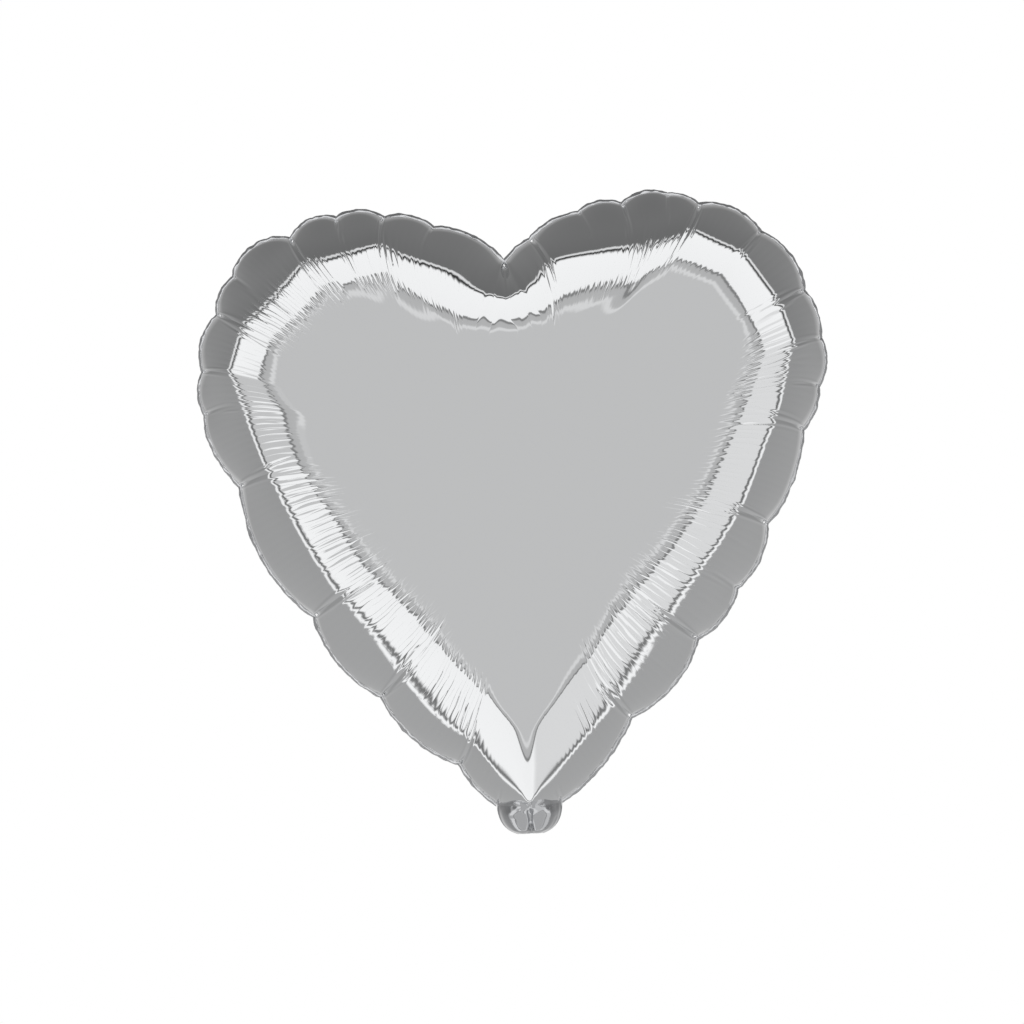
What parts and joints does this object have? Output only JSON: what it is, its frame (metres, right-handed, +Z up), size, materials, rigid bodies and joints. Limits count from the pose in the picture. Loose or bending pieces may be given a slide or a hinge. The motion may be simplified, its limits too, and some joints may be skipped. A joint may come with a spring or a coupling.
{
  "type": "foil balloon",
  "caption": "Inflated heart-shaped foil balloon with a scalloped welded seam, a flat filling tail folded up behind its point, and a one-way film valve inside.",
  "frame": {"origin": "the middle of the neck under the heart's point, where the ribbon is tied", "axes": "+Z up through the notch, the front panel faces -Y and the folded tail is on the +Y side, +X to the right as seen from the front"},
  "size_m": [0.37, 0.1794, 0.3692],
  "materials": {
    "silver_foil": "bright metallised film",
    "welded_foil": "heat-sealed and crinkled metallised film",
    "valve_film": "clear polyethylene film"
  },
  "bodies": {
    "envelope": {"front_foil_panel": "silver_foil", "back_foil_panel": "silver_foil", "perimeter_weld": "welded_foil", "neck_front_ply": "silver_foil", "neck_back_ply": "silver_foil", "neck_weld_left": "welded_foil", "neck_weld_right": "welded_foil", "valve_mouth_front_film": "valve_film", "valve_mouth_back_film": "valve_film"},
    "tail": {"tail_front_ply": "silver_foil", "tail_back_ply": "silver_foil", "tail_weld_left": "welded_foil", "tail_weld_right": "welded_foil", "valve_inlet_front_film": "valve_film", "valve_inlet_back_film": "valve_film"},
    "valve_sleeve": {"valve_sleeve_front_film": "valve_film", "valve_sleeve_back_film": "valve_film", "valve_sleeve_weld_left": "valve_film", "valve_sleeve_weld_right": "valve_film"}
  },
  "joints": [
    {"name": "tail_fold", "type": "hinge", "parent": "envelope", "child": "tail", "pos_m": [0, 0.0024, -0.01], "axis": [-1, 0, 0], "range_deg": [0, 147]},
    {"name": "valve_swing", "type": "hinge", "parent": "envelope", "child": "valve_sleeve", "pos_m": [0, 0, 0.011], "axis": [1, 0, 0], "range_deg": [-12, 12], "stiffness_Nm_per_rad": 0.0003}
  ]
}
